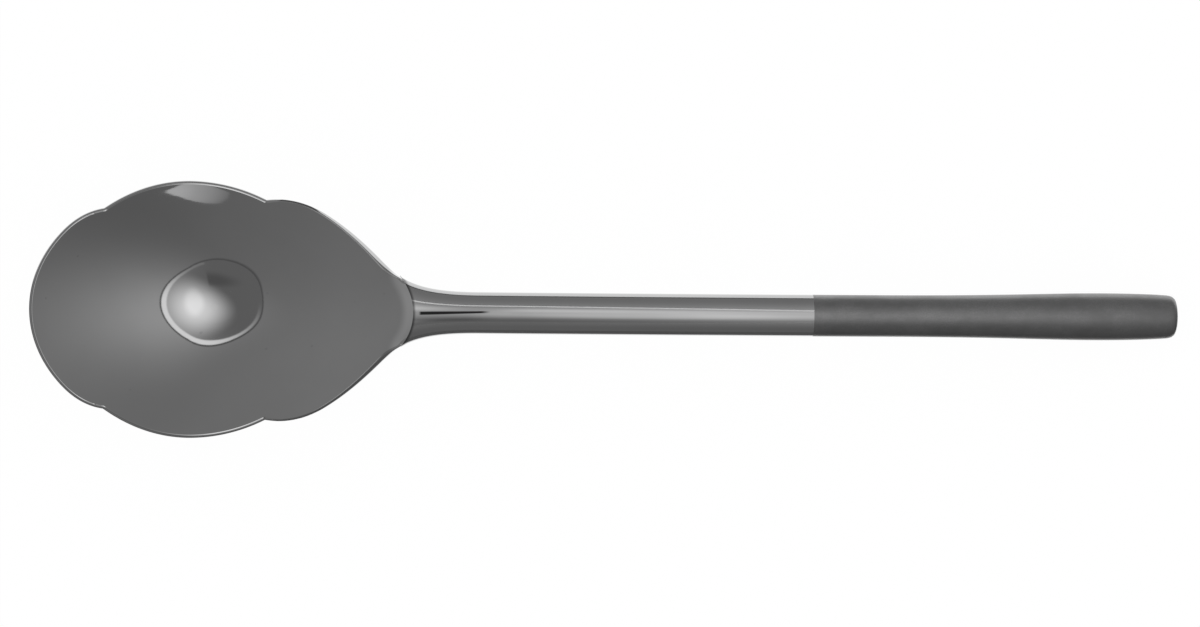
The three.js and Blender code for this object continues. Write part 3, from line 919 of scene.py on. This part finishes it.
def turned_mesh(name, handle, profile):
    """An oval piece of the handle from its profile of stations and radii, bent with the handle. The
    profile runs out along the outside and back along the bore, or from the axis to the axis."""
    profile = np.array(profile, float)
    points = [profile[0]]
    for last, here in zip(profile[:-1], profile[1:]):
        count = max(round(abs(here[0] - last[0]) / BEND_STEP), 1)
        points += [last + (here - last) * share for share in np.linspace(0, 1, count + 1)[1:]]
    points = np.array(points)
    ring_like = np.allclose(points[0], points[-1])
    if ring_like:
        points = points[:-1]
    if points[0][1] == 0:
        points = points[1:-1]
    rings = [handle.oval(station, radius) for station, radius in points]
    mesh = ring_mesh(name, rings, loop=ring_like)
    heading = np.diff(np.vstack([points[-1:], points, points[:1]]) if ring_like else points, axis=0)
    direction = np.arctan2(heading[:, 1], heading[:, 0])
    turns = abs((np.diff(direction) + math.pi) % (2 * math.pi) - math.pi)
    first = 0 if ring_like else 1
    sharpen(mesh, HANDLE_SIDES, [i + first for i, turn in enumerate(turns) if turn > SHARP_TURN])
    return mesh


def handle_steel(finish):
    """The polish that neck and stem share, with its painted shade and reflections."""
    return material_named(
        "stem_steel", polished_steel, finish.polished, finish.stem_roughness, HANDLE_PAINTED_SHADE
    )


class SPOON_OT_bowl(bpy.types.Operator):
    """Make the pressed bowl"""

    bl_idname = "spoon.bowl"
    bl_label = "Bowl"

    def execute(self, context):
        scene = context.scene
        form = BowlForm(scene.spoon_bowl, scene.spoon_handle.stem_radius)
        finish = scene.spoon_finish
        steel = material_named(
            "bowl_steel", polished_steel, finish.polished, finish.bowl_roughness, BOWL_PAINTED_REFLECTIONS
        )
        add_piece("bowl_fine", bowl_mesh(form), steel, "bowl")
        return {"FINISHED"}


class SPOON_OT_neck(bpy.types.Operator):
    """Make the flared neck"""

    bl_idname = "spoon.neck"
    bl_label = "Neck"

    def execute(self, context):
        scene = context.scene
        bowl = BowlForm(scene.spoon_bowl, scene.spoon_handle.stem_radius)
        handle = HandleForm(scene.spoon_handle)
        steel = handle_steel(scene.spoon_finish)
        add_piece("neck_fine", neck_mesh(bowl, handle), steel, "neck")
        return {"FINISHED"}


class SPOON_OT_stem(bpy.types.Operator):
    """Make the polished stem"""

    bl_idname = "spoon.stem"
    bl_label = "Stem"

    def execute(self, context):
        scene = context.scene
        sizes = scene.spoon_handle
        handle = HandleForm(sizes)
        start, end = NECK_END, GRIP_SEAM - SEAM
        ring_low, ring_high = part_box("neck_solder_ring")
        counterbore = (ring_high.y - ring_low.y) / 2 + SLIP / 2
        counterbore_end = ring_high.x + LENGTH / 2 + SLIP / 2
        profile = [
            (start, sizes.stem_radius), (end, sizes.stem_radius), (end, sizes.bore_radius),
            (counterbore_end, sizes.bore_radius), (counterbore_end, counterbore), (start, counterbore),
            (start, sizes.stem_radius),
        ]
        stem = turned_mesh("stem_form", handle, profile)
        add_piece("stem_fine", stem, handle_steel(scene.spoon_finish), "stem")
        return {"FINISHED"}


class SPOON_OT_grip(bpy.types.Operator):
    """Make the satin grip and its end cap"""

    bl_idname = "spoon.grip"
    bl_label = "Grip and end cap"

    def execute(self, context):
        scene = context.scene
        sizes = scene.spoon_handle
        handle = HandleForm(sizes)
        finish = scene.spoon_finish
        satin = material_named("grip_satin", satin_steel, finish.satin, finish.satin_roughness)
        outside = np.linspace(GRIP_SEAM, CAP_SEAM - SEAM, GRIP_STATIONS)
        profile = [(station, float(handle.grip_radius(station))) for station in outside]
        profile += [
            (CAP_SEAM - SEAM, sizes.bore_radius), (GRIP_SEAM, sizes.bore_radius),
            (GRIP_SEAM, sizes.stem_radius),
        ]
        grip = turned_mesh("grip_form", handle, profile)
        add_piece("grip_fine", grip, satin, "grip")
        spigot = sizes.bore_radius - SLIP
        head_length = LENGTH - CAP_SEAM
        profile = [(CAP_SPIGOT_START, 0), (CAP_SPIGOT_START, spigot), (CAP_SEAM, spigot)]
        for along, out in smooth_through(CAP_HEAD_SHARES, CAP_STEPS)[:-1]:
            profile.append((CAP_SEAM + along * head_length, out * handle.head_radius))
        profile.append((LENGTH, 0))
        cap = turned_mesh("cap_form", handle, profile)
        add_piece("end_cap_fine", cap, satin, "end_cap")
        return {"FINISHED"}


class SPOON_OT_inner(bpy.types.Operator):
    """Finish the pieces inside the handle"""

    bl_idname = "spoon.inner"
    bl_label = "Pieces inside"

    def execute(self, context):
        core = context.scene.spoon_finish.core
        finishes = {
            "tang": material_named("drawn_core", drawn_steel, core),
            "coupler": material_named("drawn_core", drawn_steel, core),
            "bowl_braze": material_named("flowed_braze", silver_braze),
            "neck_solder_ring": material_named("flowed_braze", silver_braze),
            "grip_cement": material_named("set_cement", handle_cement),
        }
        for node, material in finishes.items():
            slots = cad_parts[node].data.materials
            slots.clear()
            slots.append(material)
        return {"FINISHED"}


def oval_reach(x, y, middle, radii, lean=0):
    """How far a direction lies from the middle of an oval, in its radii. A lean slants the oval."""
    across = x - middle[0]
    if lean:
        across = across + (y - middle[1]) * lean
    return ((across / radii[0]) ** 2 + ((y - middle[1]) / radii[1]) ** 2) ** 0.5


def surroundings(recipe):
    """What the polished steel mirrors. Grey walls glow on one side. Overhead is the lopsided opening
    of a light tent, with a bright crescent round most of its edge, a soft lamp, a dim far side and a
    dark flap. Below the horizon the table is pale from one edge on, and dark nearer the spoon."""
    x = recipe.axes("Generated")
    y = x.output("Y")
    z = x.output("Z")
    walls = WALL_LIGHT - x * WALL_SLOPES[0] + y * WALL_SLOPES[1]
    walls = walls + recipe.step(oval_reach(x, y, *GLOW_OVAL), *GLOW_RUN) * GLOW_LIGHT

    off_middle = y - OPENING_MIDDLE[1]
    along = off_middle / OPENING_RADII[1]
    bend = (OPENING_BEND - along * OPENING_BEND_FALL) * off_middle**2
    across = (x - OPENING_MIDDLE[0] + bend) / OPENING_RADII[0]
    reach = (across**2 + along**2) ** 0.5
    fade = recipe.step(y, *CRESCENT_FADE)
    strength = recipe.step(across, *CRESCENT_GROWTH) * fade
    beyond_end = recipe.step(x, *CRESCENT_END_RUNS[0]) * recipe.step(y, *CRESCENT_END_RUNS[1])
    inner = CRESCENT_INNER - fade * recipe.step(across, *CRESCENT_THICKNESS)
    crescent = recipe.step(reach - inner, -0.02, 0.02) * recipe.step(reach, 1.0, 0.98)
    crescent = crescent * strength * (1 - beyond_end)

    inside = recipe.step(across + along * FILL_LEAN, *FILL_RUN)
    inside = inside + recipe.step(oval_reach(x, y, *LAMP_OVAL), *LAMP_RUN) * LAMP_LIGHT
    inside = inside + recipe.step(oval_reach(x, y, *CORE_OVAL), *CORE_RUN) * CORE_LIGHT
    flap = recipe.step(oval_reach(x, y, *FLAP_OVAL), *FLAP_RUN)
    flap = flap * recipe.step(x, *FLAP_SIDE)
    inside = inside * (1 - flap) + flap * FLAP_LIGHT
    inside = inside * (1 - crescent) + crescent * CRESCENT_LIGHT

    above = recipe.step(z, 0, 0.1)
    opening = recipe.step(reach, 1.005, 0.995) * above
    outline = recipe.step(reach, 1.04, 1.01) * (1 - opening) * above
    upper = walls * (1 - outline) + outline * OUTLINE_LIGHT
    upper = upper * (1 - opening) + inside * opening

    pale_far = recipe.step(z, *TABLE_FAR)
    pale_near = recipe.step(z, *TABLE_NEAR)
    pale = pale_near + (pale_far - pale_near) * recipe.step(y, *TABLE_EDGE)
    below = recipe.step(z, 0.02, -0.04)
    return upper * (1 - below) + (pale * TABLE_PALE + TABLE_LIGHT) * below


class SPOON_OT_stage(bpy.types.Operator):
    """Set the camera, the pale floor and the studio light"""

    bl_idname = "spoon.stage"
    bl_label = "Stage"

    def execute(self, context):
        stage = context.scene.spoon_stage
        self.set_camera(context.scene, stage)
        self.set_world(context.scene)
        self.set_floor(context.scene, stage)
        context.scene.view_settings.view_transform = "Standard"
        return {"FINISHED"}

    def set_camera(self, scene, stage):
        lens = bpy.data.cameras.new("camera")
        lens.lens = stage.focal_length
        distance = stage.frame_width * lens.lens / lens.sensor_width
        camera = bpy.data.objects.new("camera", lens)
        scene.collection.objects.link(camera)
        turn = Euler((stage.tilt, 0, 0)).to_matrix() @ Euler((0, 0, stage.roll)).to_matrix()
        camera.matrix_world = (
            Matrix.Translation(Vector(stage.aim)) @ turn.to_4x4() @ Matrix.Translation((0, 0, distance))
        )
        lens.clip_start = distance / CLIP_RATIO
        lens.clip_end = distance * CLIP_RATIO
        scene.camera = camera

    def set_world(self, scene):
        world = bpy.data.worlds.new("studio")
        scene.world = world
        world.use_nodes = True
        world.cycles.sampling_method = "NONE"
        recipe = Recipe(world.node_tree)
        mirrored = recipe.node("ShaderNodeLightPath", output="Is Glossy Ray")
        light = surroundings(recipe) * mirrored + (1 - mirrored)
        background = recipe.node("ShaderNodeBackground", sockets={"Color": light, "Strength": 1})
        recipe.node("ShaderNodeOutputWorld", sockets={"Surface": background})

    def set_floor(self, scene, stage):
        signs = ((-1, -1), (1, -1), (1, 1), (-1, 1))
        corners = [(x * FLOOR_HALF, y * FLOOR_HALF, 0) for x, y in signs]
        mesh = bpy.data.meshes.new("floor")
        mesh.from_pydata(corners, [], [(0, 1, 2, 3)])
        floor = bpy.data.objects.new("floor", mesh)
        floor.location.z = cad_low.z - SEAM
        scene.collection.objects.link(floor)
        material, recipe = new_recipe("pale_floor")
        matt = recipe.node("ShaderNodeBsdfDiffuse", sockets={"Color": WHITE})
        plain = recipe.node("ShaderNodeEmission", sockets={"Color": WHITE, "Strength": 1})
        seen = recipe.node("ShaderNodeMixShader", sockets={0: stage.shadow, 1: plain, 2: matt})
        clear = recipe.node("ShaderNodeBsdfTransparent")
        mirrored = recipe.node("ShaderNodeLightPath", output="Is Glossy Ray")
        back = recipe.node("ShaderNodeNewGeometry", output="Backfacing")
        hidden = recipe.node("ShaderNodeMath", {"operation": "MAXIMUM"}, {0: mirrored, 1: back})
        shown = recipe.node("ShaderNodeMixShader", sockets={0: hidden, 1: seen, 2: clear})
        recipe.node("ShaderNodeOutputMaterial", sockets={"Surface": shown})
        mesh.materials.append(material)


OPERATORS = (SPOON_OT_stage, SPOON_OT_bowl, SPOON_OT_neck, SPOON_OT_stem, SPOON_OT_grip, SPOON_OT_inner)
GROUPS = {
    "spoon_bowl": SpoonBowlSizes,
    "spoon_handle": SpoonHandleSizes,
    "spoon_finish": SpoonFinish,
    "spoon_stage": SpoonStage,
}


class SPOON_PT_pieces(bpy.types.Panel):
    """Lists the spoon's sizes and the buttons that make its pieces"""

    bl_idname = "SPOON_PT_pieces"
    bl_label = "Sugar spoon"
    bl_space_type = "VIEW_3D"
    bl_region_type = "UI"
    bl_category = "Spoon"

    def draw(self, context):
        for operator in OPERATORS:
            self.layout.operator(operator.bl_idname)
        for name, group in GROUPS.items():
            column = self.layout.column(align=True)
            for size in group.__annotations__:
                column.prop(getattr(context.scene, name), size)


def register():
    for group in GROUPS.values():
        bpy.utils.register_class(group)
    for name, group in GROUPS.items():
        setattr(bpy.types.Scene, name, bpy.props.PointerProperty(type=group))
    for operator in OPERATORS:
        bpy.utils.register_class(operator)
    bpy.utils.register_class(SPOON_PT_pieces)


def unregister():
    bpy.utils.unregister_class(SPOON_PT_pieces)
    for operator in reversed(OPERATORS):
        bpy.utils.unregister_class(operator)
    for name in GROUPS:
        delattr(bpy.types.Scene, name)
    for group in reversed(GROUPS.values()):
        bpy.utils.unregister_class(group)


def main():
    register()
    for operator in OPERATORS:
        family, name = operator.bl_idname.split(".")
        getattr(getattr(bpy.ops, family), name)()


if __name__ == "__main__":
    main()
